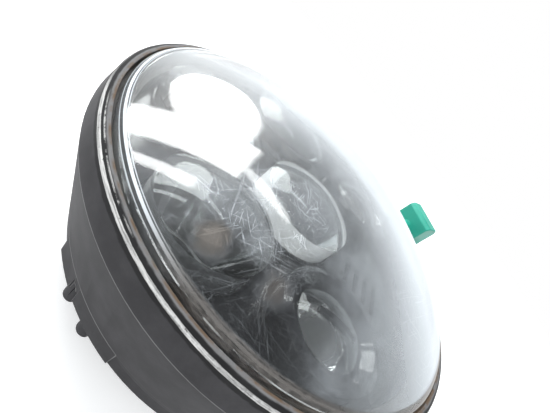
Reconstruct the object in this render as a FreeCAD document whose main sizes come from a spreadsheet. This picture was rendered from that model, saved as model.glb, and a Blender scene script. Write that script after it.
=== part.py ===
"""Round motorcycle headlamp insert, lens up: +Z is the optical axis, +Y the lamp's own up, +X its right.

The origin is on the axis, in the plane of the cooling fins' rear edges. Millimetres and degrees.
"""
import FreeCAD, Part
import math
import os
import Sketcher
from FreeCAD import Vector

# Driving sizes, all in millimetres or degrees unless the note says otherwise
SIZES = {
    # housing, outside
    "rim_radius": 73.0,
    "rim_land": 1.2,
    "flange_height": 46.0,
    "edge_inset": 1.2,
    "edge_rise": 6.6,
    "lip_inset": 2.7,
    "lip_rise": 7.5,
    "lip_land": 1.1,
    "barrel_inset": 7.3,
    "barrel_height": 19.0,
    "rear_inset": 9.0,
    # housing, inside
    "floor_wall": 4.0,
    "bowl_wall": 4.7,
    "bezel_depth": 4.5,
    "ledge_width": 2.2,
    "cover_rise": 0.5,
    "seal_room": 1.2,
    # cooling fins and castellated blocks
    "fin_height": 13.0,
    "fin_thickness": 4.6,
    "fin_setback": 8.0,
    "fin_root": 33.0,
    "short_fin_root": 46.0,
    "fin_pairs": 18,
    "fin_phase": 5.0,
    "block_sets": 3,
    "block_phase": 45.5,
    "block_first": 10.3,
    "block_second": 16.7,
    "block_third": 19.0,
    "block_gap": 3.0,
    "block_step": 0.5,
    "block_depth": 6.6,
    "block_wall": 3.9,
    "block_draft": 2.0,
    "peg_inset": 7.5,
    "peg_drop": 6.2,
    "peg_length": 9.0,
    "peg_pitch": 9.6,
    # cable exit in the rear
    "exit_angle": -28.5,
    "boss_start": 9.0,
    "boss_end": 30.0,
    "boss_width": 18.0,
    "channel_width": 12.0,
    "channel_wall": 3.0,
    "gland_radius": 4.4,
    "gland_depth": 13.0,
    "gland_height": 5.8,
    "wire_hole": 3.0,
    "wire_reach": 21.0,
    "vent_hole": 2.5,
    "vent_reach": 15.0,
    "vent_button": 5.0,
    "vent_button_height": 2.5,
    # domed cover and its seal
    "cover_wall": 3.0,
    "skirt_wall": 2.8,
    "skirt_height": 6.6,
    "skirt_chamfer": 0.9,
    "dome_height": 25.0,
    "seal_thickness": 1.5,
    "seal_upstand": 3.5,
    # bezel
    "bezel_thickness": 2.0,
    "bezel_rim": 1.4,
    "hole_rim": 1.0,
    "slot_width": 2.2,
    "slot_first": 10.5,
    "slot_growth": 2.5,
    "slot_start": 28.5,
    "slot_pitch": 4.85,
    # optics
    "lens_gap": 7.1,
    "lens_margin": 3.1,
    "lens_edge": 6.0,
    "lens_crown": 5.0,
    "lens_foot": 8.0,
    "foot_gap": 3.0,
    "small_drop": 2.0,
    "small_crown": 3.6,
    "small_seat": 2.0,
    "small_step": 2.0,
    "optic_slot": 2.0,
    "optic_slot_length": 13.5,
    "optic_slot_depth": 3.0,
    "collar_width": 5.9,
    "collar_slope": 2.6,
    "collar_chamfer": 1.0,
    "holder_height": 17.0,
    "holder_wall": 1.6,
    "holder_foot": 11.5,
    # light sources and driver
    "pad_thickness": 0.5,
    "board_gap": 3.0,
    "board_thickness": 1.6,
    "emitter_side": 3.6,
    "emitter_height": 1.2,
    "screw_radius": 1.5,
    "screw_head": 2.8,
    "screw_head_height": 2.0,
    "screw_grip": 3.0,
    "driver_width": 32.0,
    "driver_length": 22.0,
    "driver_lift": 3.0,
    "driver_inset": 3.0,
    "spacer_radius": 2.0,
    "coil_radius": 5.0,
    "coil_height": 7.0,
    "chip_side": 7.0,
    "chip_height": 2.0,
    # lead and plug
    "cable_diameter": 6.0,
    "grommet_reach": 14.0,
    "grommet_tip": 3.9,
    "grommet_collar": 5.2,
    "collar_length": 2.0,
    "plug_width": 28.0,
    "plug_height": 22.0,
    "plug_depth": 18.0,
    "plug_chamfer": 3.0,
    "plug_step": 4.0,
    "plug_heading": -45.0,
    "boot_length": 9.0,
    "boot_radius": 4.8,
    "boot_tip": 4.2,
    "entry_height": 5.5,
    "blade_width": 8.0,
    "blade_thickness": 0.8,
    "blade_length": 14.0,
    "blade_root": 8.0,
    "blade_spacing": 18.0,
    "blade_hole": 1.2,
    # clearances, and how far a cut runs past the face it opens
    "slip": 0.1,
    "free": 0.4,
    "overrun": 1.0,
}

# Route of the lead from the grommet's tip to the plug's boot, chosen by hand
ROUTE = [
    (38.668, -20.995, 5.8),
    (58.002, -31.493, 5.8),
    (82.0, -42.0, 3.05),
    (108.0, -51.0, 3.05),
    (132.0, -62.5, 3.05),
    (153.0, -77.0, 3.05),
    (170.2, -91.2, 5.5),
    (182.9, -103.9, 5.5),
]
ARC_SHARE = 0.45

# Levels and radii that several pieces share, as expressions on the sheet
BOWL_FLOOR = "(Sizes.fin_height + Sizes.floor_wall)"
BOARD_TOP = "(%s + Sizes.pad_thickness + Sizes.board_thickness)" % BOWL_FLOOR
HOLDER_TOP = "(%s + Sizes.holder_height)" % BOARD_TOP
LENS_EDGE = "(Sizes.flange_height + Sizes.lens_edge)"
BEZEL_SEAT = "(Sizes.flange_height - Sizes.bezel_depth)"
COVER_SEAT = "(Sizes.flange_height + Sizes.cover_rise)"
SKIRT_FOOT = "(%s + Sizes.seal_thickness)" % COVER_SEAT
EDGE_RADIUS = "(Sizes.rim_radius - Sizes.edge_inset)"
LIP_RADIUS = "(Sizes.rim_radius - Sizes.lip_inset)"
BARREL_RADIUS = "(Sizes.rim_radius - Sizes.barrel_inset)"
REAR_RADIUS = "(Sizes.rim_radius - Sizes.rear_inset)"
BOWL_RADIUS = "(%s - Sizes.bowl_wall)" % BARREL_RADIUS
BOARD_RADIUS = "(%s - Sizes.board_gap)" % BOWL_RADIUS
GROOVE_RADIUS = "(%s - Sizes.lip_land)" % LIP_RADIUS
COVER_RADIUS = "(%s - Sizes.seal_room)" % GROOVE_RADIUS
SKIRT_INSIDE = "(%s - Sizes.skirt_wall)" % COVER_RADIUS
BEZEL_RADIUS = "(%s - Sizes.free)" % SKIRT_INSIDE
FIN_PITCH = "(180 / Sizes.fin_pairs)"
FIN_TIP = "(%s - Sizes.fin_setback)" % REAR_RADIUS
PEG_TIP = "(Sizes.rim_radius - Sizes.peg_inset)"
FIN_TIP_CURVE = "(0.55 * Sizes.fin_thickness)"
# Three lens widths, from the centre lens out along the ring, share the bezel with the gaps
LENS_RADIUS = "((%s - Sizes.lens_gap - Sizes.lens_margin) / 3)" % BEZEL_RADIUS
LENS_HOLE = "(%s + Sizes.free)" % LENS_RADIUS
RING_RADIUS = "(2 * %s + Sizes.lens_gap)" % LENS_RADIUS
SMALL_RADIUS = "(%s - Sizes.collar_width)" % LENS_RADIUS
RIB_SLOTS = 4

doc = FreeCAD.newDocument("Headlamp")
sheet = doc.addObject("Spreadsheet::Sheet", "Sizes")
for row, (alias, value) in enumerate(SIZES.items(), start=1):
    sheet.set("A%d" % row, alias)
    sheet.set("B%d" % row, str(value))
    sheet.setAlias("B%d" % row, alias)
doc.recompute()


def number(text):
    """Value of an expression on the sheet."""
    return float(sheet.evalExpression(text))


def bind(target, **expressions):
    """Bind properties to expressions; a double underscore stands for the dot in a property's path."""
    for path, text in expressions.items():
        target.setExpression(path.replace("__", "."), text)


def turn(angle):
    """Cosine and sine of an angle in degrees, as expression text."""
    return "cos(%s * 1 deg)" % angle, "sin(%s * 1 deg)" % angle


def place(target, x="0", y="0", z="0", angle=None):
    """Bind a place, and a turn about Z, to expressions."""
    if angle is not None:
        target.Placement = FreeCAD.Placement(Vector(), FreeCAD.Rotation(Vector(0, 0, 1), 1))
        target.setExpression("Placement.Rotation.Angle", angle)
    bind(target, Placement__Base__x=x, Placement__Base__y=y, Placement__Base__z=z)


def place_at_exit(target, reach):
    """Lay a piece that is drawn along +Z on the cable exit's axis, starting at a distance from the lamp's."""
    cosine, sine = turn("Sizes.exit_angle")
    target.Placement = FreeCAD.Placement(Vector(), FreeCAD.Rotation(Vector(0, 1, 0), 90))
    bind(target, Placement__Rotation__Axis__x="-" + sine, Placement__Rotation__Axis__y=cosine)
    bind(target, Placement__Base__x="%s * %s" % (reach, cosine), Placement__Base__y="%s * %s" % (reach, sine),
         Placement__Base__z="Sizes.gland_height")


def new_body(label):
    body = doc.addObject("PartDesign::Body", label)
    body.Label = label
    return body


def origin_feature(body, role):
    return next(item for item in body.Origin.OriginFeatures if item.Role == role)


def new_sketch(body, name, role, lift="0", angle="0"):
    """Sketch on one of the body's own origin planes, lifted along its normal and turned in it."""
    sketch = body.newObject("Sketcher::SketchObject", name)
    sketch.AttachmentSupport = (origin_feature(body, role), [""])
    sketch.MapMode = "FlatFace"
    sketch.AttachmentOffset = FreeCAD.Placement(Vector(), FreeCAD.Rotation(Vector(0, 0, 1), 1))
    bind(sketch, AttachmentOffset__Base__z=lift, AttachmentOffset__Rotation__Angle=angle)
    return sketch


def pin_point(sketch, edge, end, x, y):
    """Fix one end of an edge at a place given by two expressions."""
    for text, kind, axis in ((x, "DistanceX", -2), (y, "DistanceY", -1)):
        if text == "0":
            sketch.addConstraint(Sketcher.Constraint("PointOnObject", edge, end, axis))
        else:
            index = sketch.addConstraint(Sketcher.Constraint(kind, edge, end, number(text)))
            sketch.setExpression("Constraints[%d]" % index, text)


def arc_between(first, last, radius=None):
    """Arc of a circle centred on the sketch's Y axis, or of the given radius bulging to the right of the way.

    Returns the arc and whether it runs from last to first.
    """
    if radius is None:
        height = (last.Length ** 2 - first.Length ** 2) / (2 * (last.y - first.y))
        centre = Vector(0, height, 0)
    else:
        chord = last - first
        across = Vector(-chord.y, chord.x, 0).normalize()
        centre = (first + last) * 0.5 + across * (radius ** 2 - chord.Length ** 2 / 4) ** 0.5
    reach = (first - centre).Length
    backwards = (first - centre).cross(last - centre).z < 0
    ends = [last, first] if backwards else [first, last]
    axis = Vector(1, 0, 0)
    angles = [axis.getAngle(end - centre) * (1 if end.y >= centre.y else -1) for end in ends]
    circle = Part.Circle(centre, Vector(0, 0, 1), reach)
    return Part.ArcOfCircle(circle, *angles), backwards


def outline(sketch, corners):
    """Closed outline through corners (x, y), (x, y, "dome") or (x, y, radius) given as expressions.

    The third entry makes the edge that leaves the corner an arc: centred on the axis, or of that radius.
    """
    points = [Vector(number(corner[0]), number(corner[1]), 0) for corner in corners]
    edges = []
    for index, corner in enumerate(corners):
        first, last = points[index], points[(index + 1) % len(points)]
        if len(corner) == 2:
            edges.append((sketch.addGeometry(Part.LineSegment(first, last)), 1, 2))
            continue
        radius = None if corner[2] == "dome" else number(corner[2])
        arc, backwards = arc_between(first, last, radius)
        edge = sketch.addGeometry(arc)
        edges.append((edge, 2, 1) if backwards else (edge, 1, 2))
    for index, (edge, start, end) in enumerate(edges):
        following = edges[(index + 1) % len(edges)]
        sketch.addConstraint(Sketcher.Constraint("Coincident", edge, end, following[0], following[1]))
        pin_point(sketch, edge, start, corners[index][0], corners[index][1])
        if len(corners[index]) == 3 and corners[index][2] == "dome":
            sketch.addConstraint(Sketcher.Constraint("PointOnObject", edge, 3, -2))
        elif len(corners[index]) == 3:
            bent = sketch.addConstraint(Sketcher.Constraint("Radius", edge, number(corners[index][2])))
            sketch.setExpression("Constraints[%d]" % bent, corners[index][2])


def circle(sketch, x, y, radius):
    """Circle with its centre and radius bound to expressions."""
    centre = Vector(number(x), number(y), 0)
    edge = sketch.addGeometry(Part.Circle(centre, Vector(0, 0, 1), number(radius)))
    pin_point(sketch, edge, 3, x, y)
    index = sketch.addConstraint(Sketcher.Constraint("Radius", edge, number(radius)))
    sketch.setExpression("Constraints[%d]" % index, radius)


def box_outline(sketch, low_x, high_x, low_y, high_y):
    outline(sketch, [(low_x, low_y), (high_x, low_y), (high_x, high_y), (low_x, high_y)])


def revolve(body, name, corners):
    """Solid of revolution about Z from an outline in (radius, height)."""
    sketch = new_sketch(body, name + "_profile", "XZ_Plane")
    outline(sketch, corners)
    feature = body.newObject("PartDesign::Revolution", name)
    feature.Profile = sketch
    feature.ReferenceAxis = (sketch, ["V_Axis"])
    feature.Angle = 360
    return feature


def pad(body, name, sketch, length, downward=False, draft=None):
    feature = body.newObject("PartDesign::Pad", name)
    feature.Profile = sketch
    feature.Reversed = downward
    feature.setExpression("Length", length)
    if draft is not None:
        feature.setExpression("TaperAngle", "-" + draft)
    return feature


def pocket(body, name, sketch, length, upward=False):
    feature = body.newObject("PartDesign::Pocket", name)
    feature.Profile = sketch
    feature.Reversed = upward
    feature.setExpression("Length", length)
    return feature


def polar(body, name, original, angle, count):
    """Pattern of a feature about Z."""
    feature = body.newObject("PartDesign::PolarPattern", name)
    feature.Originals = [original]
    feature.Axis = (origin_feature(body, "Z_Axis"), [""])
    bind(feature, Angle=angle, Occurrences=count)
    body.Tip = feature
    return feature


def drill(body, name, radius, reach, angle, low, high):
    """Straight hole along Z, at a distance and an angle from the axis."""
    cosine, sine = turn(angle)
    feature = body.newObject("PartDesign::SubtractiveCylinder", name)
    bind(feature, Radius=radius, Height="%s - %s" % (high, low))
    place(feature, "%s * %s" % (reach, cosine), "%s * %s" % (reach, sine), low)
    return feature


def cylinder(name, radius, height, x="0", y="0", z="0"):
    solid = doc.addObject("Part::Cylinder", name)
    bind(solid, Radius=radius, Height=height)
    place(solid, x, y, z)
    return solid


def block(name, length, width, height, x="0", y="0", z="0"):
    """Box centred on its place in X and Y, standing on its height z."""
    solid = doc.addObject("Part::Box", name)
    bind(solid, Length=length, Width=width, Height=height)
    place(solid, "%s - %s / 2" % (x, length), "%s - %s / 2" % (y, width), z)
    return solid


def group(label, solids):
    compound = doc.addObject("Part::Compound", label)
    compound.Label = label
    compound.Links = solids
    return compound


# The six optics: name, angle on the ring (None for the centre) and whether it is a small one in a collar
OPTICS = [
    ("centre", None, False),
    ("top", 90, False),
    ("upper_left", 150, False),
    ("upper_right", 30, False),
    ("lower_left", 210, True),
    ("lower_right", 330, True),
]
# Board screws stand between the optics, at every second gap of the ring
SCREW_ANGLES = [60, 180, 300]
SCREW_REACH = "(%s / sqrt(3))" % RING_RADIUS
WIRE_ANGLE = "Sizes.exit_angle"
VENT_ANGLE = "(Sizes.exit_angle + 180)"


def optic_place(angle):
    """Place of an optic on the ring, as a pair of expressions."""
    if angle is None:
        return "0", "0"
    cosine, sine = turn(angle)
    return "%s * %s" % (RING_RADIUS, cosine), "%s * %s" % (RING_RADIUS, sine)


def make_housing():
    """Die-cast bowl: tapered barrel, lip and seats inside, fins, blocks and cable boss behind."""
    body = new_body("housing")
    bezel_bore = "(%s + Sizes.free / 2)" % BEZEL_RADIUS
    revolve(body, "bowl", [
        ("0", "Sizes.fin_height"),
        (REAR_RADIUS, "Sizes.fin_height"),
        (BARREL_RADIUS, "Sizes.barrel_height"),
        ("Sizes.rim_radius", "Sizes.flange_height - Sizes.rim_land"),
        ("Sizes.rim_radius", "Sizes.flange_height"),
        (EDGE_RADIUS, "Sizes.flange_height + Sizes.edge_rise"),
        (LIP_RADIUS, "Sizes.flange_height + Sizes.lip_rise"),
        (GROOVE_RADIUS, "Sizes.flange_height + Sizes.lip_rise"),
        (GROOVE_RADIUS, COVER_SEAT),
        (bezel_bore, COVER_SEAT),
        (bezel_bore, BEZEL_SEAT),
        (bezel_bore + " - Sizes.ledge_width", BEZEL_SEAT),
        (BOWL_RADIUS, BOWL_FLOOR),
        ("0", BOWL_FLOOR),
    ])
    embed = "Sizes.fin_height + Sizes.floor_wall / 2"
    half = "Sizes.fin_thickness / 2"
    straight = "%s - %s" % (FIN_TIP, half)
    first_fin = "Sizes.exit_angle + Sizes.fin_phase + %s" % FIN_PITCH
    # Long and short fins alternate; the two beside the cable channel are left out
    for name, root, start, span, count in (
        ("long_fin", "Sizes.fin_root", first_fin, "360 - 4 * %s" % FIN_PITCH, "Sizes.fin_pairs - 1"),
        ("short_fin", "Sizes.short_fin_root", "%s + %s" % (first_fin, FIN_PITCH),
         "360 - 4 * %s" % FIN_PITCH, "Sizes.fin_pairs - 1"),
    ):
        plan = new_sketch(body, name + "_plan", "XY_Plane", angle=start)
        outline(plan, [
            (root, "-" + half),
            (straight, "-" + half, FIN_TIP_CURVE),
            (straight, half),
            (root, half),
        ])
        polar(body, name + "s", pad(body, name, plan, embed), span, count)
    # Three blocks of different widths, the third a step further in, then a bare stretch of barrel make one set
    first = "(Sizes.exit_angle + Sizes.block_phase)"
    second = "(%s + Sizes.block_first + Sizes.block_gap)" % first
    third = "(%s + Sizes.block_second)" % second
    inner = "(%s - Sizes.block_wall)" % BARREL_RADIUS
    for name, start, width, outer in (
        ("narrow_block", first, "Sizes.block_first", BARREL_RADIUS),
        ("middle_block", second, "Sizes.block_second", BARREL_RADIUS),
        ("wide_block", third, "Sizes.block_third", "(%s - Sizes.block_step)" % BARREL_RADIUS),
    ):
        plan = new_sketch(body, name + "_plan", "XY_Plane", "Sizes.barrel_height", "%s + %s / 2" % (start, width))
        cosine, sine = turn("(%s / 2)" % width)
        outline(plan, [
            ("%s * %s" % (inner, cosine), "-%s * %s" % (inner, sine)),
            ("%s * %s" % (outer, cosine), "-%s * %s" % (outer, sine), outer),
            ("%s * %s" % (outer, cosine), "%s * %s" % (outer, sine)),
            ("%s * %s" % (inner, cosine), "%s * %s" % (inner, sine)),
        ])
        tooth = pad(body, name, plan, "Sizes.block_depth", downward=True, draft="Sizes.block_draft")
        polar(body, name + "s", tooth, "360", "Sizes.block_sets")
    # Two rounded pegs under the blocks of each set
    straight = "%s - %s" % (PEG_TIP, half)
    for index in range(2):
        angle = "%s + Sizes.block_first + %d * Sizes.peg_pitch" % (first, index)
        plan = new_sketch(body, "peg_%d_plan" % index, "XY_Plane", "Sizes.fin_height - Sizes.peg_drop", angle)
        outline(plan, [
            ("%s - Sizes.peg_length" % PEG_TIP, "-" + half),
            (straight, "-" + half, FIN_TIP_CURVE),
            (straight, half),
            ("%s - Sizes.peg_length" % PEG_TIP, half),
        ])
        peg = pad(body, "peg_%d" % index, plan, "Sizes.peg_drop + Sizes.floor_wall / 2")
        polar(body, "pegs_%d" % index, peg, "360", "Sizes.block_sets")
    # Cable boss with two walls that guide the lead out between the fins
    plan = new_sketch(body, "boss_plan", "XY_Plane", angle="Sizes.exit_angle")
    box_outline(plan, "Sizes.boss_start", "Sizes.boss_end", "-Sizes.boss_width / 2", "Sizes.boss_width / 2")
    pad(body, "boss", plan, embed)
    plan = new_sketch(body, "channel_plan", "XY_Plane", angle="Sizes.exit_angle")
    near = "Sizes.channel_width / 2"
    far = "(Sizes.channel_width / 2 + Sizes.channel_wall)"
    box_outline(plan, "Sizes.boss_end - Sizes.channel_wall", FIN_TIP, near, far)
    box_outline(plan, "Sizes.boss_end - Sizes.channel_wall", FIN_TIP, "-" + far, "-" + near)
    pad(body, "channel_walls", plan, embed)
    bore = body.newObject("PartDesign::SubtractiveCylinder", "gland_bore")
    bind(bore, Radius="Sizes.gland_radius", Height="Sizes.gland_depth")
    place_at_exit(bore, "(Sizes.boss_end - Sizes.gland_depth)")
    past_floor = "(%s + Sizes.overrun)" % BOWL_FLOOR
    drill(body, "wire_hole", "Sizes.wire_hole", "Sizes.wire_reach", WIRE_ANGLE,
          "Sizes.gland_height", past_floor)
    drill(body, "vent_hole", "Sizes.vent_hole", "Sizes.vent_reach", VENT_ANGLE,
          "(Sizes.fin_height - Sizes.overrun)", past_floor)
    for angle in SCREW_ANGLES:
        drill(body, "screw_hole_%d" % angle, "Sizes.screw_radius", SCREW_REACH, str(angle),
              "(%s - Sizes.screw_grip - Sizes.slip)" % BOWL_FLOOR, past_floor)
    return body


def make_cover():
    """Clear dome with a short skirt that stands in the housing's groove."""
    body = new_body("lens_cover")
    skirt_top = "(%s + Sizes.skirt_height)" % SKIRT_FOOT
    apex = "(Sizes.flange_height + Sizes.dome_height)"
    revolve(body, "dome", [
        (SKIRT_INSIDE, SKIRT_FOOT),
        (COVER_RADIUS, SKIRT_FOOT),
        (COVER_RADIUS, skirt_top),
        (COVER_RADIUS + " - Sizes.skirt_chamfer", skirt_top + " + Sizes.skirt_chamfer", "dome"),
        ("0", apex),
        ("0", apex + " - Sizes.cover_wall", "dome"),
        (SKIRT_INSIDE, skirt_top + " + Sizes.skirt_chamfer - Sizes.cover_wall"),
    ])
    return body


def make_seal():
    """Seal of L section: under the skirt and the bezel's rim side, and up between skirt and lip."""
    body = new_body("lens_seal")
    outside = "(%s - Sizes.slip)" % GROOVE_RADIUS
    inside = "(%s + Sizes.slip)" % COVER_RADIUS
    revolve(body, "ring", [
        (BEZEL_RADIUS + " - Sizes.bezel_rim", COVER_SEAT),
        (outside, COVER_SEAT),
        (outside, SKIRT_FOOT + " + Sizes.seal_upstand"),
        (inside, SKIRT_FOOT + " + Sizes.seal_upstand"),
        (inside, SKIRT_FOOT),
        (BEZEL_RADIUS + " - Sizes.bezel_rim", SKIRT_FOOT),
    ])
    return body


def make_bezel():
    """Glossy plate on the housing's ledge, with its rim up to the seal, hole rims and rib slots."""
    body = new_body("inner_bezel")
    top = "(%s + Sizes.bezel_thickness)" % BEZEL_SEAT
    rim = "(%s - Sizes.bezel_rim)" % BEZEL_RADIUS
    revolve(body, "plate", [
        ("0", BEZEL_SEAT),
        (BEZEL_RADIUS, BEZEL_SEAT),
        (BEZEL_RADIUS, COVER_SEAT),
        (rim, COVER_SEAT),
        (rim, top),
        ("0", top),
    ])
    plan = new_sketch(body, "rim_plan", "XY_Plane", top)
    for _, angle, _ in OPTICS:
        circle(plan, *optic_place(angle), LENS_HOLE + " + Sizes.hole_rim")
    pad(body, "hole_rims", plan, "Sizes.hole_rim")
    plan = new_sketch(body, "hole_plan", "XY_Plane", top + " + Sizes.hole_rim")
    for _, angle, _ in OPTICS:
        circle(plan, *optic_place(angle), LENS_HOLE)
    pocket(body, "lens_holes", plan, "Sizes.bezel_thickness + Sizes.hole_rim")
    plan = new_sketch(body, "slot_plan", "XY_Plane", top)
    for step in range(RIB_SLOTS):
        middle = "(-Sizes.slot_start - %d * Sizes.slot_pitch)" % step
        length = "(Sizes.slot_first + %d * Sizes.slot_growth)" % step
        box_outline(plan, "-%s / 2" % length, "%s / 2" % length,
                    middle + " - Sizes.slot_width / 2", middle + " + Sizes.slot_width / 2")
    pocket(body, "rib_slots", plan, "Sizes.bezel_thickness")
    return body


def make_lens(name, angle):
    """Large solid optic: cone over the light source, cylindrical side and convex face."""
    body = new_body("lens_" + name)
    foot = "(%s + Sizes.foot_gap)" % BOARD_TOP
    neck = "(%s - Sizes.holder_wall - Sizes.free)" % LENS_RADIUS
    revolve(body, "optic_" + name, [
        ("0", foot),
        ("Sizes.lens_foot", foot),
        (neck, HOLDER_TOP),
        (LENS_RADIUS, HOLDER_TOP),
        (LENS_RADIUS, LENS_EDGE, "dome"),
        ("0", LENS_EDGE + " + Sizes.lens_crown"),
    ])
    place(body, *optic_place(angle))
    return body


def make_small_lens(name, angle):
    """Small optic on the collar's inner ledge, with a slot across its face."""
    body = new_body("lens_" + name)
    foot = "(%s + Sizes.foot_gap)" % BOARD_TOP
    edge = "(%s - Sizes.small_drop)" % LENS_EDGE
    shoulder = "(%s + Sizes.small_seat)" % HOLDER_TOP
    neck = "(%s - Sizes.small_step)" % SMALL_RADIUS
    revolve(body, "optic_" + name, [
        ("0", foot),
        ("Sizes.lens_foot - Sizes.small_step", foot),
        (neck, HOLDER_TOP),
        (neck, shoulder),
        (SMALL_RADIUS, shoulder),
        (SMALL_RADIUS, edge, "dome"),
        ("0", edge + " + Sizes.small_crown"),
    ])
    slot = body.newObject("PartDesign::SubtractiveBox", "slot_" + name)
    bind(slot, Length="Sizes.optic_slot", Width="Sizes.optic_slot_length",
         Height="Sizes.optic_slot_depth + Sizes.small_crown")
    place(slot, "-Sizes.optic_slot / 2", "-Sizes.optic_slot_length / 2",
          edge + " + Sizes.small_crown - Sizes.optic_slot_depth")
    place(body, *optic_place(angle))
    return body


def make_collar(name, angle):
    """Black collar that fills the large lens hole and carries a small optic on its inner ledge."""
    body = new_body("collar_" + name)
    bore = "(%s + Sizes.slip)" % SMALL_RADIUS
    ledge = "(%s - Sizes.small_step + Sizes.slip)" % bore
    shoulder = "(%s + Sizes.small_seat)" % HOLDER_TOP
    revolve(body, "cup_" + name, [
        (ledge, HOLDER_TOP),
        (LENS_RADIUS, HOLDER_TOP),
        (LENS_RADIUS, LENS_EDGE + " - Sizes.collar_chamfer"),
        (LENS_RADIUS + " - Sizes.collar_slope", LENS_EDGE),
        (bore, LENS_EDGE + " - Sizes.small_drop - Sizes.collar_chamfer"),
        (bore, shoulder),
        (ledge, shoulder),
    ])
    place(body, *optic_place(angle))
    return body


def make_holder(name, angle):
    """Flared cup on the board whose top edge carries the optic or its collar."""
    body = new_body("holder_" + name)
    revolve(body, "flare_" + name, [
        ("Sizes.holder_foot - Sizes.holder_wall", BOARD_TOP),
        ("Sizes.holder_foot", BOARD_TOP),
        (LENS_RADIUS, HOLDER_TOP),
        (LENS_RADIUS + " - Sizes.holder_wall", HOLDER_TOP),
    ])
    place(body, *optic_place(angle))
    return body


def make_disc(label, radius, low, thickness):
    """Disc on the bowl's floor, with holes for the screws and the wires."""
    body = new_body(label)
    plan = new_sketch(body, label + "_plan", "XY_Plane", low)
    circle(plan, "0", "0", radius)
    for angle in SCREW_ANGLES:
        cosine, sine = turn(angle)
        circle(plan, "%s * %s" % (SCREW_REACH, cosine), "%s * %s" % (SCREW_REACH, sine),
               "Sizes.screw_radius + Sizes.slip")
    cosine, sine = turn(WIRE_ANGLE)
    circle(plan, "Sizes.wire_reach * " + cosine, "Sizes.wire_reach * " + sine, "Sizes.wire_hole")
    pad(body, label + "_sheet", plan, thickness)
    return body


def make_emitters():
    """Light sources, one under each optic."""
    chips = []
    for name, angle, _ in OPTICS:
        x, y = optic_place(angle)
        chips.append(block("emitter_" + name, "Sizes.emitter_side", "Sizes.emitter_side",
                           "Sizes.emitter_height", x, y, BOARD_TOP))
    return group("led_emitters", chips)


def make_screws():
    """Pan-head screws that hold the board down to the bowl's floor."""
    screws = []
    for angle in SCREW_ANGLES:
        cosine, sine = turn(angle)
        x, y = "%s * %s" % (SCREW_REACH, cosine), "%s * %s" % (SCREW_REACH, sine)
        head = cylinder("head_%d" % angle, "Sizes.screw_head", "Sizes.screw_head_height", x, y, BOARD_TOP)
        grip = "(Sizes.pad_thickness + Sizes.board_thickness + Sizes.screw_grip)"
        shank = cylinder("shank_%d" % angle, "Sizes.screw_radius - Sizes.slip", grip, x, y,
                         "%s - %s" % (BOARD_TOP, grip))
        screw = doc.addObject("Part::Fuse", "screw_%d" % angle)
        screw.Base, screw.Tool = head, shank
        screws.append(screw)
    return group("board_screws", screws)


DRIVER_LEVEL = "(%s + Sizes.driver_lift)" % BOARD_TOP
DRIVER_TOP = "(%s + Sizes.board_thickness)" % DRIVER_LEVEL


def make_driver():
    """Driver board in the ring's free place, on four spacers, with its coil and chip."""
    middle = "-" + RING_RADIUS
    board = block("driver_board", "Sizes.driver_width", "Sizes.driver_length", "Sizes.board_thickness",
                  "0", middle, DRIVER_LEVEL)
    spacers = []
    for index, (across, along) in enumerate(((-1, -1), (-1, 1), (1, -1), (1, 1))):
        spacers.append(cylinder("spacer_%d" % index, "Sizes.spacer_radius", "Sizes.driver_lift",
                                "%d * (Sizes.driver_width / 2 - Sizes.driver_inset)" % across,
                                "%s + %d * (Sizes.driver_length / 2 - Sizes.driver_inset)" % (middle, along),
                                BOARD_TOP))
    quarter = "Sizes.driver_width / 4"
    coil = cylinder("coil", "Sizes.coil_radius", "Sizes.coil_height", "-" + quarter, middle, DRIVER_TOP)
    chip = block("chip", "Sizes.chip_side", "Sizes.chip_side", "Sizes.chip_height",
                 quarter, middle, DRIVER_TOP)
    return [board, group("driver_spacers", spacers), group("driver_parts", [coil, chip])]


def make_vent():
    """Rubber breather: a stem in the rear wall and a low button outside it."""
    body = new_body("vent_plug")
    stem = "(Sizes.vent_hole - Sizes.slip)"
    revolve(body, "button", [
        ("0", "Sizes.fin_height - Sizes.vent_button_height"),
        ("Sizes.vent_button", "Sizes.fin_height - Sizes.vent_button_height"),
        ("Sizes.vent_button", "Sizes.fin_height"),
        (stem, "Sizes.fin_height"),
        (stem, BOWL_FLOOR),
        ("0", BOWL_FLOOR),
    ])
    cosine, sine = turn(VENT_ANGLE)
    place(body, "Sizes.vent_reach * " + cosine, "Sizes.vent_reach * " + sine)
    return body


def make_grommet():
    """Strain relief: a plug in the boss's bore and a tapered nose along the lead."""
    body = new_body("cable_grommet")
    fit = "(Sizes.gland_radius - Sizes.slip)"
    revolve(body, "nose", [
        ("0", "-Sizes.gland_depth + Sizes.slip"),
        (fit, "-Sizes.gland_depth + Sizes.slip"),
        (fit, "0"),
        ("Sizes.grommet_collar", "0"),
        ("Sizes.grommet_collar", "Sizes.collar_length"),
        ("Sizes.grommet_tip", "Sizes.grommet_reach"),
        ("0", "Sizes.grommet_reach"),
    ])
    place_at_exit(body, "Sizes.boss_end")
    return body


def rounded_path(points):
    """Straight runs joined by tangent arcs, each as large as its two runs allow; prints the radii."""
    edges, last = [], points[0]
    for before, corner, after in zip(points, points[1:], points[2:]):
        back, ahead = before - corner, after - corner
        reach = ARC_SHARE * min(back.Length, ahead.Length)
        half_turn = (math.pi - back.getAngle(ahead)) / 2
        radius = reach / math.tan(half_turn)
        back.normalize()
        ahead.normalize()
        start, end = corner + back * reach, corner + ahead * reach
        centre = corner + (back + ahead).normalize() * (radius / math.cos(half_turn))
        middle = centre + (corner - centre).normalize() * radius
        print("lead: arc radius %.0f mm" % radius)
        edges.append(Part.LineSegment(last, start).toShape())
        edges.append(Part.Arc(start, middle, end).toShape())
        last = end
    edges.append(Part.LineSegment(last, points[-1]).toShape())
    return Part.Wire(edges)


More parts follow.
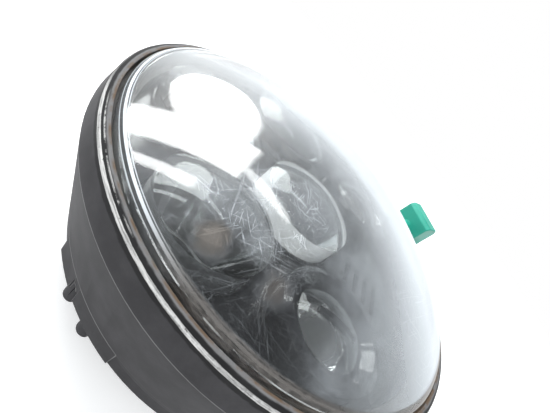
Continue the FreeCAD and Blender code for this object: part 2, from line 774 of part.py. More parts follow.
def make_cable():
    """Plain round lead along the route."""
    points = [Vector(*point) for point in ROUTE]
    path = rounded_path(points)
    radius = number("Sizes.cable_diameter / 2")
    section = Part.Wire(Part.makeCircle(radius, points[0], points[1] - points[0]))
    tube = path.makePipeShell([section], True, False)
    cable = doc.addObject("Part::Feature", "cable")
    cable.Label = "cable"
    cable.Shape = tube
    print("lead: %.1f mm long, volume against section times length %.4f"
          % (path.Length, tube.Volume / (math.pi * radius ** 2 * path.Length)))
    return cable


def place_plug(target):
    """Set a piece of the plug, drawn along +X from the boot's end, at the end of the lead."""
    end = ROUTE[-1]
    place(target, str(end[0]), str(end[1]), "0", "Sizes.plug_heading")


def blade_places():
    """Middle of each blade across and up the plug, and whether it stands upright."""
    low = "Sizes.plug_height / 4"
    return [
        ("left", "-Sizes.blade_spacing / 2", "Sizes.plug_height / 2", True),
        ("right", "Sizes.blade_spacing / 2", "Sizes.plug_height / 2", True),
        ("low", "0", low, False),
    ]


def make_plug():
    """Moulded plug: stepped block with chamfered edges, slots for the blades and a boot for the lead."""
    body = new_body("plug_body")
    plan = new_sketch(body, "plug_side", "XZ_Plane")
    back = "Sizes.boot_length"
    front = "(Sizes.boot_length + Sizes.plug_depth)"
    top = "Sizes.plug_height"
    outline(plan, [
        (back, "Sizes.slip"),
        (front, "Sizes.slip"),
        (front, "%s - Sizes.plug_step" % top),
        ("%s - Sizes.plug_step" % front, top),
        ("%s + Sizes.plug_chamfer" % back, top),
        (back, "%s - Sizes.plug_chamfer" % top),
    ])
    shell = pad(body, "plug_block", plan, "Sizes.plug_width")
    shell.Midplane = True
    boot = body.newObject("PartDesign::AdditiveCone", "boot")
    bind(boot, Radius1="Sizes.boot_tip", Radius2="Sizes.boot_radius", Height=back + " + Sizes.slip")
    boot.Placement = FreeCAD.Placement(Vector(), FreeCAD.Rotation(0, 90, 0))
    bind(boot, Placement__Base__z="Sizes.entry_height")
    for name, across, height, upright in blade_places():
        slot = body.newObject("PartDesign::SubtractiveBox", "slot_" + name)
        wide, tall = "(Sizes.blade_width + Sizes.slip)", "(Sizes.blade_thickness + Sizes.slip)"
        if upright:
            wide, tall = tall, wide
        bind(slot, Length="Sizes.blade_root + Sizes.overrun", Width=wide, Height=tall)
        place(slot, front + " - Sizes.blade_root",
              "%s - %s / 2" % (across, wide), "%s - %s / 2" % (height, tall))
    place_plug(body)
    return body


def make_blades():
    """Three tinned blades, each with a hole near its tip."""
    front = "(Sizes.boot_length + Sizes.plug_depth)"
    blades = []
    for name, across, height, upright in blade_places():
        wide, tall = "Sizes.blade_width", "Sizes.blade_thickness"
        if upright:
            wide, tall = tall, wide
        strip = doc.addObject("Part::Box", "strip_" + name)
        bind(strip, Length="Sizes.blade_root + Sizes.blade_length", Width=wide, Height=tall)
        place(strip, front + " - Sizes.blade_root",
              "%s - %s / 2" % (across, wide), "%s - %s / 2" % (height, tall))
        punch = doc.addObject("Part::Cylinder", "punch_" + name)
        bind(punch, Radius="Sizes.blade_hole", Height="Sizes.blade_width")
        tip = front + " + Sizes.blade_length - Sizes.blade_width / 2"
        if upright:
            punch.Placement = FreeCAD.Placement(Vector(), FreeCAD.Rotation(Vector(1, 0, 0), 90))
            bind(punch, Placement__Base__x=tip, Placement__Base__y=across + " + Sizes.blade_width / 2",
                 Placement__Base__z=height)
        else:
            place(punch, tip, across, height + " - Sizes.blade_width / 2")
        blade = doc.addObject("Part::Cut", "blade_" + name)
        blade.Base, blade.Tool = strip, punch
        blades.append(blade)
    compound = group("plug_blades", blades)
    place_plug(compound)
    return compound


def main():
    pieces = [make_housing(), make_cover(), make_seal(), make_bezel()]
    for name, angle, small in OPTICS:
        pieces.append(make_holder(name, angle))
        if small:
            pieces.append(make_collar(name, angle))
            pieces.append(make_small_lens(name, angle))
        else:
            pieces.append(make_lens(name, angle))
    board_level = "%s + Sizes.pad_thickness" % BOWL_FLOOR
    pieces.append(make_disc("thermal_pad", BOARD_RADIUS, BOWL_FLOOR, "Sizes.pad_thickness"))
    pieces.append(make_disc("led_board", BOARD_RADIUS, board_level, "Sizes.board_thickness"))
    pieces += [make_emitters(), make_screws()]
    pieces += make_driver()
    pieces += [make_vent(), make_grommet(), make_cable(), make_plug(), make_blades()]
    doc.recompute()
    for item in doc.Objects:
        if "Invalid" in item.State or "Error" in item.State:
            raise RuntimeError("%s failed: %s" % (item.Label, item.State))
    for piece in pieces:
        if piece.Shape.isNull() or not piece.Shape.isValid():
            raise RuntimeError("%s has no valid shape" % piece.Label)
    os.makedirs("parts", exist_ok=True)
    for piece in pieces:
        piece.Shape.exportStep("parts/%s.step" % piece.Label)
        box = piece.Shape.BoundBox
        print("%-20s solids %d volume %.0f z %.2f to %.2f" % (
            piece.Label, len(piece.Shape.Solids), piece.Shape.Volume, box.ZMin, box.ZMax))


main()
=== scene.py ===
"""Dresses the round headlamp: worn coated casting, clear dome and optics, glossy bezel, lead and plug.

The lamp stands lens up on its cooling fins: +Z is the optical axis, +Y the lamp's own up. Metres throughout.
"""
import math

import bmesh
import bpy
import numpy as np
from bpy.props import FloatProperty, FloatVectorProperty, IntProperty, PointerProperty
from mathutils import Matrix, Vector


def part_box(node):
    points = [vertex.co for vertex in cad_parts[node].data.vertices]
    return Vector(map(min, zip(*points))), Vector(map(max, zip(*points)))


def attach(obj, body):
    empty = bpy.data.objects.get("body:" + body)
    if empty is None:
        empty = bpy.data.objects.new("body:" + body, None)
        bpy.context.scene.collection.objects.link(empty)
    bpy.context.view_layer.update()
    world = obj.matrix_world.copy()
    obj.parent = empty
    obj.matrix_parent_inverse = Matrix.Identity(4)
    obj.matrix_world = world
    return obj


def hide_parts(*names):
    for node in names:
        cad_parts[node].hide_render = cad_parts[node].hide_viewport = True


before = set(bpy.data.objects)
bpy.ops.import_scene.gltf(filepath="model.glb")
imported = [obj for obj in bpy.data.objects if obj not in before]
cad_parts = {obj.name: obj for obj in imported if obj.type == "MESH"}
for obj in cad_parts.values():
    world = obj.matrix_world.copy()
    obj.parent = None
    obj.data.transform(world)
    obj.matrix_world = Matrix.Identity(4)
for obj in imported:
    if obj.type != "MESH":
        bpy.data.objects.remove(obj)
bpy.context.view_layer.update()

bl_info = {
    "name": "Round headlamp insert",
    "version": (1, 0, 0),
    "blender": (4, 5, 0),
    "location": "View3D > Sidebar > Headlamp",
    "description": "Finishes, clear dome and optics, lead, floor and light for the headlamp",
    "category": "Object",
}

MM = 0.001

# The lead's route from the strain relief's tip to the plug's boot, as in the part's source
ROUTE = [
    (0.038668, -0.020995, 0.0058),
    (0.058002, -0.031493, 0.0058),
    (0.082, -0.042, 0.00305),
    (0.108, -0.051, 0.00305),
    (0.132, -0.0625, 0.00305),
    (0.153, -0.077, 0.00305),
    (0.1702, -0.0912, 0.0055),
    (0.1829, -0.1039, 0.0055),
]
LARGE_OPTICS = ("centre", "top", "upper_left", "upper_right")
SMALL_OPTICS = ("lower_left", "lower_right")

COVER_LOW, COVER_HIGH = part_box("lens_cover")
HOUSING_LOW, HOUSING_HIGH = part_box("housing")
RIM_RADIUS = -HOUSING_LOW.x
LIP_HEIGHT = HOUSING_HIGH.z
# Radius and height of the lower edge of the housing's barrel
FOOT_RADIUS, FOOT_HEIGHT = RIM_RADIUS - 7.3 * MM, 19.0 * MM
# In degrees: the joints between the middle and the wide blocks, the sets' spacing and a wide block's width
BLOCK_JOINTS = (47.0, 167.0, 287.0)
SET_SPACING = 120.0
WIDE_BLOCK = 19.0
# Where the slits at the joints are closed: limits of height and of radius, and degrees from the joint
SLIT_HEIGHTS = (12.3 * MM, 13.1 * MM)
SLIT_RADII = (61.5 * MM, 65.6 * MM)
SLIT_ANGLE = 0.25
# In a node's copy: distance at which points are merged, and degrees within which faces count as flat
MERGE_DISTANCE = 0.002 * MM
FLAT_ANGLE = 0.4

# Smears on the dome: place in plan, radius and amount, in millimetres. The white ones are partly smeared haze
# and partly painted glare, a painted highlight over the optics
WHITE_SMEARS_AND_GLARE = (
    (-50.0, 38.0, 18.0, 0.07),
    (-45.5, 26.0, 9.0, 0.14),
    (-46.0, 19.0, 9.0, 0.14),
    (-47.5, 12.5, 8.0, 0.12),
    (-28.5, 4.5, 16.0, 0.1),
    (-36.5, 18.0, 10.0, 0.15),
    (-36.0, -15.5, 14.0, 0.07),
    (-47.5, -23.5, 14.0, 0.1),
    (-58.5, -19.0, 9.0, 0.1),
)
BROWN_SMEARS = (
    (-54.5, 20.0, 6.0, 0.26),
    (-54.0, 3.0, 6.0, 0.12),
)
# The place where scratches are painted brightest, given as a smear: real scratches, with painted glints where
# the glare falls
GLINTING_SCRATCHES = ((-40.0, 17.0, 27.0, 1.0),)
# Layers of scratches: the way the lines run, in degrees, and the noise's scale along them
SCRATCHES = ((-72, 110), (-38, 70), (-8, 150), (21, 90), (47, 130), (83, 80))
# Worn lines on the skirt: inset from its outside, height above its foot and width in millimetres, and amount
SKIRT_LINES = ((0.9, 7.5, 0.42, 0.85), (0.0, 6.6, 0.16, 0.6), (1.6, 7.85, 0.14, 0.6))

# Windows overhead: name, shape, middle in plan, size, turn in degrees and brightness
WINDOWS = (
    ("wide_window", "RECTANGLE", (0.73, 0.86), (0.44, 1.17), 0.0, 11.0),
    ("narrow_window", "RECTANGLE", (0.29, 0.88), (0.085, 0.86), 0.0, 11.0),
    ("round_window", "ELLIPSE", (1.9, 1.08), (2.6, 0.9), 25.0, 7.0),
    ("far_curtain", "ELLIPSE", (0.575, 0.1), (0.09, 0.5), -20.0, 5.0),
)
LIGHT_HEIGHT = 1.06


class HeadlampForms(bpy.types.PropertyGroup):
    """Sizes of the surfaces that are made here."""

    turn_steps: IntProperty(
        name="Steps round a turned piece", description="Faces round the axis of a turned surface",
        default=224, min=48, max=512)
    arc_steps: IntProperty(
        name="Steps along the dome", description="Points from the dome's edge to its top",
        default=60, min=12, max=200)
    edge_round: FloatProperty(
        name="Edge rounding", description="Width of the rounded edges of the casting",
        default=0.16 * MM, unit="LENGTH", precision=5)
    dome_wall: FloatProperty(
        name="Dome wall", description="Thickness of the clear dome",
        default=3.0 * MM, unit="LENGTH", precision=4)
    skirt_wall: FloatProperty(
        name="Skirt wall", description="Thickness of the dome's skirt",
        default=2.8 * MM, unit="LENGTH", precision=4)
    skirt_height: FloatProperty(
        name="Skirt height", description="Straight outer side of the dome's skirt",
        default=6.6 * MM, unit="LENGTH", precision=4)
    skirt_chamfer: FloatProperty(
        name="Skirt chamfer", description="Chamfer between the skirt and the dome",
        default=0.9 * MM, unit="LENGTH", precision=4)
    skin_depth: FloatProperty(
        name="Skin depth", description="How far the clear dome lies under its weathered skin",
        default=0.05 * MM, unit="LENGTH", precision=5)
    lens_crown: FloatProperty(
        name="Lens crown", description="Rise of a large optic's face above its edge",
        default=5.0 * MM, unit="LENGTH", precision=4)
    lens_foot: FloatProperty(
        name="Lens foot", description="Radius of a large optic's flat foot",
        default=8.0 * MM, unit="LENGTH", precision=4)
    lens_flange: FloatProperty(
        name="Lens flange", description="Width of the step on which a large optic rests in its holder",
        default=2.0 * MM, unit="LENGTH", precision=4)
    slot_width: FloatProperty(
        name="Slot width", description="Width of the slot across a small optic",
        default=2.0 * MM, unit="LENGTH", precision=4)
    slot_length: FloatProperty(
        name="Slot length", description="Length of the slot across a small optic",
        default=13.5 * MM, unit="LENGTH", precision=4)
    slot_depth: FloatProperty(
        name="Slot depth", description="Depth of the slot in a small optic",
        default=3.0 * MM, unit="LENGTH", precision=4)
    slot_slack: FloatProperty(
        name="Slot slack", description="Distance outside the slot at which a face still counts as its own",
        default=0.03 * MM, unit="LENGTH", precision=5)
    lead_diameter: FloatProperty(
        name="Lead diameter", description="Outside of the lead's jacket",
        default=6.0 * MM, unit="LENGTH", precision=4)


class HeadlampFinish(bpy.types.PropertyGroup):
    """Colours of the finishes."""

    coat: FloatVectorProperty(
        name="Coat", description="Black coating of the casting", subtype="COLOR",
        default=(0.052, 0.051, 0.054))
    bare_metal: FloatVectorProperty(
        name="Bare metal", description="Die-cast metal where the coating has worn off", subtype="COLOR",
        default=(0.66, 0.655, 0.645))
    # Grey of rubbed coating; on the edges below the rim it also paints the edges' highlight
    rubbed: FloatVectorProperty(
        name="Rubbed coat", description="Thin grey coating on rubbed edges", subtype="COLOR",
        default=(0.25, 0.25, 0.25))
    rust: FloatVectorProperty(
        name="Rust and dirt", description="Brown dirt in the groove round the dome", subtype="COLOR",
        default=(0.11, 0.075, 0.05))
    grime: FloatVectorProperty(
        name="Grime", description="Black dirt beside the rim's bright edge", subtype="COLOR",
        default=(0.008, 0.008, 0.008))
    dome_tint: FloatVectorProperty(
        name="Dome tint", description="Colour that the dome lets through", subtype="COLOR",
        default=(0.94, 0.97, 0.965))
    # White of the dome's marks: weathered haze, and also painted glare, glints and reflection
    haze: FloatVectorProperty(
        name="Haze", description="Colour of the scratched and weathered skin of the dome", subtype="COLOR",
        default=(0.8, 0.855, 0.905))
    smear: FloatVectorProperty(
        name="Smear", description="Brown dirt smeared on the dome", subtype="COLOR",
        default=(0.36, 0.32, 0.285))
    bezel: FloatVectorProperty(
        name="Bezel", description="Glossy black plastic round the optics", subtype="COLOR",
        default=(0.012, 0.012, 0.014))
    plug: FloatVectorProperty(
        name="Plug", description="Green moulded plug", subtype="COLOR",
        default=(0.02, 0.34, 0.25))


class HeadlampStage(bpy.types.PropertyGroup):
    """Camera, floor and light."""

    camera_place: FloatVectorProperty(
        name="Camera place", description="Where the camera stands", subtype="TRANSLATION",
        default=(-0.1166, 0.0277, 0.1142), precision=4)
    camera_view: FloatVectorProperty(
        name="Camera view", description="Direction that the camera looks in", subtype="DIRECTION",
        default=(0.8415, -0.1484, -0.5194), precision=4)
    camera_up: FloatVectorProperty(
        name="Camera up", description="Direction of the picture's upper edge", subtype="DIRECTION",
        default=(0.4583, 0.7051, 0.5411), precision=4)
    focal_length: FloatProperty(
        name="Focal length", description="Of the camera, in millimetres on a 36 mm wide frame",
        default=25.53)
    floor_size: FloatProperty(
        name="Floor size", description="Side of the white floor",
        default=6.0, unit="LENGTH")


# Shader nodes


def set_inputs(tree, node, sockets):
    """Set each input of a node, given by name or index, to a value, or link another node's output to it."""
    for key, value in sockets.items():
        if isinstance(value, bpy.types.NodeSocket):
            tree.links.new(value, node.inputs[key])
        else:
            node.inputs[key].default_value = value


def add(tree, kind, sockets=None, **settings):
    """New node of a kind, with its settings and then its inputs."""
    made = tree.nodes.new("ShaderNode" + kind)
    for key, value in settings.items():
        setattr(made, key, value)
    set_inputs(tree, made, sockets or {})
    return made


def calc(tree, operation, *values):
    """Output of a Math node."""
    return add(tree, "Math", dict(enumerate(values)), operation=operation).outputs[0]


def product(tree, first, *others):
    """Several values multiplied together."""
    for value in others:
        first = calc(tree, "MULTIPLY", first, value)
    return first


def hypotenuse(tree, first, second):
    """Square root of the sum of two squares."""
    squares = product(tree, first, first), product(tree, second, second)
    return calc(tree, "SQRT", calc(tree, "ADD", *squares))


def ramp(tree, value, low, high, to_low=0.0, to_high=1.0):
    """Smooth step of a value from one pair of limits to another."""
    made = add(tree, "MapRange", {
        "Value": value, "From Min": low, "From Max": high, "To Min": to_low, "To Max": to_high,
    }, interpolation_type="SMOOTHSTEP")
    return made.outputs["Result"]


def blend(tree, share, first, second):
    """Mix of two values."""
    return add(tree, "Mix", {0: share, 2: first, 3: second}).outputs[0]


def opaque(colour):
    """Three numbers of a colour with an alpha of 1; a socket stays as it is."""
    return (*colour, 1.0) if isinstance(colour, tuple) else colour


def blend_colour(tree, share, first, second):
    """Mix of two colours, each a socket or three numbers."""
    sockets = {0: share, 6: opaque(first), 7: opaque(second)}
    return add(tree, "Mix", sockets, data_type="RGBA").outputs[2]


def shade(colour, share):
    """Lighter or darker colour."""
    return tuple(share * value for value in colour)


def object_place(tree):
    """Place on a piece in its own frame, which is the lamp's."""
    return add(tree, "TexCoord").outputs["Object"]


def noise(tree, place, scale, detail, roughness=0.5):
    """Value of a noise texture."""
    made = add(tree, "TexNoise", {"Vector": place, "Scale": scale, "Detail": detail, "Roughness": roughness})
    return made.outputs[0]


def bump(tree, height, strength, distance):
    """Normal of a bumpy skin."""
    return add(tree, "Bump", {"Height": height, "Strength": strength, "Distance": distance}).outputs[0]


def new_group(name, inputs, outputs):
    """Empty node group with named value inputs, given with their defaults, and named value outputs."""
    tree = bpy.data.node_groups.new(name, "ShaderNodeTree")
    for title, default in inputs.items():
        socket = tree.interface.new_socket(title, in_out="INPUT", socket_type="NodeSocketFloat")
        socket.default_value = default
    for title in outputs:
        tree.interface.new_socket(title, in_out="OUTPUT", socket_type="NodeSocketFloat")
    return tree, tree.nodes.new("NodeGroupInput").outputs, tree.nodes.new("NodeGroupOutput")


def use_group(tree, name, sockets=None):
    """Outputs of a node group that is placed in another tree."""
    return add(tree, "Group", sockets, node_tree=bpy.data.node_groups[name]).outputs


def group_lamp_place():
    """Distance from the lamp's axis, height, and angle round the axis.

    The angle is 0 at -X, so that its seam is at the far side.
    """
    tree, _, out = new_group("lamp_place", {}, ("Radius", "Height", "Angle"))
    axes = add(tree, "SeparateXYZ", {0: object_place(tree)}).outputs
    back_x, back_y = calc(tree, "MULTIPLY", axes[0], -1.0), calc(tree, "MULTIPLY", axes[1], -1.0)
    set_inputs(tree, out, {
        "Radius": hypotenuse(tree, axes[0], axes[1]),
        "Height": axes[2],
        "Angle": calc(tree, "ARCTAN2", back_y, back_x),
    })


def unrolled(tree, place, radius):
    """Place on the lamp unrolled round its axis: the angle times a radius, then radius and height."""
    along = calc(tree, "MULTIPLY", place["Angle"], radius)
    return add(tree, "CombineXYZ", {0: along, 1: place["Radius"], 2: place["Height"]}).outputs[0]


def group_ring_band():
    """Band along a circle round the axis: 1 on it, 0 further off than the width, with a ragged edge."""
    inputs = {"Radius": 0.07, "Height": 0.05, "Width": 0.001, "Ragged": 0.5, "Scale": 400.0}
    tree, given, out = new_group("ring_band", inputs, ("Mask",))
    place = use_group(tree, "lamp_place")
    aside = calc(tree, "SUBTRACT", place["Radius"], given["Radius"])
    above = calc(tree, "SUBTRACT", place["Height"], given["Height"])
    share = calc(tree, "DIVIDE", hypotenuse(tree, aside, above), given["Width"])
    strip = unrolled(tree, place, calc(tree, "MULTIPLY", given["Radius"], 0.3))
    rough = calc(tree, "SUBTRACT", noise(tree, strip, given["Scale"], 4.0, 0.65), 0.5)
    share = calc(tree, "ADD", share, calc(tree, "MULTIPLY", rough, given["Ragged"]))
    set_inputs(tree, out, {"Mask": ramp(tree, share, 1.0, 0.7)})


def ring_band(tree, radius, height, width, ragged, scale):
    """Mask of a ragged band along a circle."""
    return use_group(tree, "ring_band", {
        "Radius": radius, "Height": height, "Width": width, "Ragged": ragged, "Scale": scale,
    })["Mask"]


def group_grain():
    """Fine bumps of a cast or moulded skin, and a slow change of tone over it."""
    tree, given, out = new_group("skin_grain", {"Scale": 1500.0}, ("Height", "Tone"))
    place = object_place(tree)
    slow = calc(tree, "MULTIPLY", given["Scale"], 0.04)
    set_inputs(tree, out, {
        "Height": noise(tree, place, given["Scale"], 2.0, 0.6),
        "Tone": noise(tree, place, slow, 5.0, 0.6),
    })


def group_hairlines():
    """Fine scratches: layers of bent, stretched noise, cut so that only thin lines are left."""
    tree, given, out = new_group("hairlines", {"Cut": 0.7}, ("Mask",))
    place = object_place(tree)
    bend = add(tree, "TexNoise", {"Vector": place, "Scale": 35.0, "Detail": 1.0}).outputs[1]
    sockets = {0: bend, 1: (0.003, 0.003, 0.0), 2: place}
    bent = add(tree, "VectorMath", sockets, operation="MULTIPLY_ADD").outputs[0]
    full = calc(tree, "ADD", given["Cut"], 0.05)
    total = 0.0
    for index, (angle, along) in enumerate(SCRATCHES):
        turned = add(tree, "Mapping", {
            "Vector": bent,
            "Location": (0.31 * index, 0.17 * index, 0.0),
            "Rotation": (0.0, 0.0, math.radians(angle)),
            "Scale": (1.0 / along, 1.0 / 3500.0, 1.0 / 150.0),
        }, vector_type="TEXTURE").outputs[0]
        mask = ramp(tree, noise(tree, turned, 1.0, 1.0), given["Cut"], full)
        total = calc(tree, "MAXIMUM", mask, total)
    set_inputs(tree, out, {"Mask": total})


def group_smear():
    """Soft round patch at a place in plan, with a ragged edge: a smear, or a place of painted glare or
    glints.
    """
    tree, given, out = new_group("smear", {"X": 0.0, "Y": 0.0, "Radius": 0.01}, ("Mask",))
    place = object_place(tree)
    axes = add(tree, "SeparateXYZ", {0: place}).outputs
    aside = calc(tree, "SUBTRACT", axes[0], given["X"])
    above = calc(tree, "SUBTRACT", axes[1], given["Y"])
    share = calc(tree, "DIVIDE", hypotenuse(tree, aside, above), given["Radius"])
    rough = calc(tree, "SUBTRACT", noise(tree, place, 170.0, 5.0, 0.7), 0.5)
    share = calc(tree, "ADD", share, calc(tree, "MULTIPLY", rough, 1.2))
    set_inputs(tree, out, {"Mask": ramp(tree, share, 1.0, 0.1)})


def smears(tree, places):
    """Strongest of a list of smears at a point."""
    total = 0.0
    for x, y, radius, amount in places:
        mask = use_group(tree, "smear", {"X": x * MM, "Y": y * MM, "Radius": radius * MM})["Mask"]
        total = calc(tree, "MAXIMUM", calc(tree, "MULTIPLY", mask, amount), total)
    return total


def build_groups():
    """Node groups that the finishes share."""
    group_smear()
    group_lamp_place()
    group_ring_band()
    group_grain()
    group_hairlines()


def new_material(name):
    """Material with its own Principled shader wired to the output."""
    made = bpy.data.materials.new(name)
    made.use_nodes = True
    tree = made.node_tree
    tree.nodes.clear()
    shader = add(tree, "BsdfPrincipled")
    out = add(tree, "OutputMaterial", {"Surface": shader.outputs[0]})
    return made, tree, shader, out


def wire(tree, shader, **sockets):
    """Set or link inputs of a shader; an underscore in a name stands for a space."""
    set_inputs(tree, shader, {key.replace("_", " "): opaque(value) for key, value in sockets.items()})


def let_lamps_through(tree, shader, out):
    """Add a Transparent shader for rays from the lamps, so that they reach what is behind clear plastic."""
    clear = add(tree, "BsdfTransparent", {"Color": (0.9, 0.9, 0.9, 1.0)})
    path = add(tree, "LightPath")
    mixed = add(tree, "MixShader", {
        0: path.outputs["Is Shadow Ray"], 1: shader.outputs[0], 2: clear.outputs[0]})
    set_inputs(tree, out, {"Surface": mixed.outputs[0]})


# Finishes


def rub_and_highlight_blocks(tree, place, patches, rub, colour, grey):
    """Coating below the rim, rubbed to grey on edges, at the blocks' joints and at the barrel's foot. These
    grey lines are partly rubbed coating and partly painted highlight of the edges.
    """
    below = ramp(tree, place["Height"], LIP_HEIGHT - 5.0 * MM, LIP_HEIGHT - 6.0 * MM)
    rubbed = product(tree, below, rub, ramp(tree, patches, 0.25, 0.6, 0.45, 1.0))
    # Angle past the last joint between blocks; the wide block that follows a joint is hardly rubbed
    past = calc(tree, "ADD", place["Angle"], math.radians(180.0 - BLOCK_JOINTS[1]))
    past = calc(tree, "FLOORED_MODULO", past, math.radians(SET_SPACING))
    wide = math.radians(WIDE_BLOCK)
    off_wide = calc(tree, "MAXIMUM", ramp(tree, past, wide, wide + 0.02, 0.15, 1.0),
                    ramp(tree, place["Height"], FOOT_HEIGHT + 3.0 * MM, FOOT_HEIGHT + 5.0 * MM))
    colour = blend_colour(tree, calc(tree, "MULTIPLY", rubbed, off_wide), colour, grey)
    # The wide block's side gets a thin light line at the joint: rubbed coating and painted highlight
    aside = calc(tree, "PINGPONG", past, math.radians(SET_SPACING / 2))
    aside = calc(tree, "MULTIPLY", aside, FOOT_RADIUS)
    joint = calc(tree, "MULTIPLY", ramp(tree, aside, 0.16 * MM, 0.08 * MM),
                 ramp(tree, place["Height"], FOOT_HEIGHT + 0.1 * MM, FOOT_HEIGHT - 0.1 * MM, 0.0, 0.9))
    colour = blend_colour(tree, joint, colour, grey)
    # So does the barrel's lower edge: rubbed coating and painted highlight
    foot = ring_band(tree, FOOT_RADIUS, FOOT_HEIGHT, 0.22 * MM, 0.3, 900.0)
    return blend_colour(tree, product(tree, foot, 0.8, off_wide), colour, grey)


def soil_lip(tree, place, colour, look):
    """Coating of the lip: its top rubbed dull grey, dirt in the groove, grime on both sides of the edge."""
    radius, height = place["Radius"], place["Height"]
    land = calc(tree, "MULTIPLY", ramp(tree, radius, RIM_RADIUS - 2.4 * MM, RIM_RADIUS - 2.7 * MM),
                ramp(tree, height, LIP_HEIGHT - 0.3 * MM, LIP_HEIGHT - 0.1 * MM))
    colour = blend_colour(tree, calc(tree, "MULTIPLY", land, 0.45), colour, tuple(look.rubbed))
    groove = calc(tree, "MULTIPLY", ramp(tree, radius, RIM_RADIUS - 2.8 * MM, RIM_RADIUS - 3.4 * MM),
                  ramp(tree, height, LIP_HEIGHT - 8.0 * MM, LIP_HEIGHT - 6.5 * MM))
    brown = ramp(tree, noise(tree, object_place(tree), 160.0, 5.0, 0.7), 0.38, 0.6)
    colour = blend_colour(tree, calc(tree, "MULTIPLY", groove, brown), colour, tuple(look.rust))
    grime = ring_band(tree, RIM_RADIUS - 1.3 * MM, LIP_HEIGHT - 1.1 * MM, 1.9 * MM, 0.9, 700.0)
    return blend_colour(tree, calc(tree, "MULTIPLY", grime, 0.75), colour, tuple(look.grime))


def bare_share(tree, place, patches):
    """Share of the coating that has worn off: along the rim's edge, and in a thin line inside it."""
    angle = place["Angle"]
    edge = ring_band(tree, RIM_RADIUS - 1.25 * MM, LIP_HEIGHT - 1.0 * MM, 0.6 * MM, 0.5, 1300.0)
    chips = ramp(tree, noise(tree, object_place(tree), 520.0, 5.0, 0.75), 0.33, 0.38)
    worn = ramp(tree, noise(tree, object_place(tree), 900.0, 4.0, 0.7), 0.3, 0.55, 0.55, 1.0)
    worn = blend(tree, ramp(tree, angle, -0.6, -0.1), 1.0, worn)
    edge = product(tree, edge, chips, worn, ramp(tree, angle, -1.2, -1.0, 0.3, 1.0))
    line = ring_band(tree, RIM_RADIUS - 2.3 * MM, LIP_HEIGHT - 0.25 * MM, 0.2 * MM, 0.8, 900.0)
    line = product(tree, line, ramp(tree, angle, -0.4, -0.6), ramp(tree, angle, -1.1, -0.9, 0.0, 0.8),
                   ramp(tree, patches, 0.4, 0.55))
    return calc(tree, "MAXIMUM", edge, line)


def finish_coat(look, name, rub):
    """Matte black coating with dirt in the groove, worn to bright metal on the rim's edge.

    Below the rim, rub is the share of the coating that is rubbed to grey: none on faces, most on edges, where
    the grey is also painted highlight.
    """
    made, tree, shader, _ = new_material(name)
    place = use_group(tree, "lamp_place")
    grain = use_group(tree, "skin_grain", {"Scale": 2400.0})
    patches = noise(tree, object_place(tree), 210.0, 4.0, 0.7)
    tone = ramp(tree, grain["Tone"], 0.3, 0.75)
    colour = blend_colour(tree, tone, shade(look.coat, 0.8), shade(look.coat, 1.2))
    colour = rub_and_highlight_blocks(tree, place, patches, rub, colour, tuple(look.rubbed))
    colour = soil_lip(tree, place, colour, look)
    # The bare metal is streaked along the edge
    strip = unrolled(tree, place, 0.06 * RIM_RADIUS)
    streaks = ramp(tree, noise(tree, strip, 2600.0, 4.0, 0.7), 0.35, 0.62)
    metal = blend_colour(tree, streaks, shade(look.bare_metal, 0.42), tuple(look.bare_metal))
    bare = bare_share(tree, place, patches)
    wire(tree, shader, Base_Color=blend_colour(tree, bare, colour, metal),
         Metallic=calc(tree, "MULTIPLY", bare, 0.3), Roughness=ramp(tree, bare, 0.0, 1.0, 0.6, 0.35),
         Specular_IOR_Level=0.12, Normal=bump(tree, grain["Height"], 0.35, 0.08 * MM))
    return made


def weathered_patches(tree):
    """Slow change over the dome from less to more weathered."""
    return ramp(tree, noise(tree, object_place(tree), 28.0, 4.0, 0.6), 0.3, 0.7)


def finish_dome(look):
    """Clear plastic; a rough coat spreads the windows' mirror images into a glare."""
    made, tree, glass, out = new_material("clear_dome")
    coat = ramp(tree, weathered_patches(tree), 0.0, 1.0, 0.25, 0.5)
    wire(tree, glass, Base_Color=tuple(look.dome_tint), IOR=1.5, Transmission_Weight=1.0, Roughness=0.05,
         Coat_Weight=coat, Coat_Roughness=0.38)
    let_lamps_through(tree, glass, out)
    return made


def dome_marks(tree):
    """Scratches and specks, which show most where the dome is clearest, and brightest in one place near the
    glare, where they are partly painted glints.
    """
    lines = use_group(tree, "hairlines", {"Cut": 0.668})["Mask"]
    lines = calc(tree, "MULTIPLY", lines, ramp(tree, weathered_patches(tree), 0.0, 1.0, 0.08, 0.23))
    specks = ramp(tree, noise(tree, object_place(tree), 1500.0, 2.0), 0.67, 0.72)
    marks = calc(tree, "MAXIMUM", lines, calc(tree, "MULTIPLY", specks, 0.2))
    # Brightest near the glare: painted glints of the scratches
    return calc(tree, "MULTIPLY", marks, ramp(tree, smears(tree, GLINTING_SCRATCHES), 0.0, 0.7, 0.22, 1.25))


def dome_veil(tree, brown):
    """Haze at low angles, on the lamp's lower side and over its middle, with the smears on top. The whiteness
    at low angles is partly a painted reflection, and the white smears are partly painted glare.
    """
    facing = add(tree, "LayerWeight", {"Blend": 0.5}).outputs["Facing"]
    sideways, upward, _ = add(tree, "SeparateXYZ", {0: object_place(tree)}).outputs
    # Whiter at low angles: partly haze, partly a painted reflection of the white surroundings
    grazing_haze_and_sheen = calc(tree, "MULTIPLY", ramp(tree, facing, 0.42, 1.0, 0.0, 0.48),
                     ramp(tree, upward, 0.02, 0.06, 1.0, 0.4))
    lower_side = ramp(tree, upward, 0.0, -0.045, 0.0, 0.15)
    middle = calc(tree, "MULTIPLY", ramp(tree, sideways, -0.056, -0.03, 0.0, 0.07),
                  ramp(tree, upward, 0.05, 0.03))
    veil = calc(tree, "ADD", calc(tree, "ADD", grazing_haze_and_sheen, lower_side), middle)
    return calc(tree, "ADD", veil, calc(tree, "MAXIMUM", smears(tree, WHITE_SMEARS_AND_GLARE), brown))


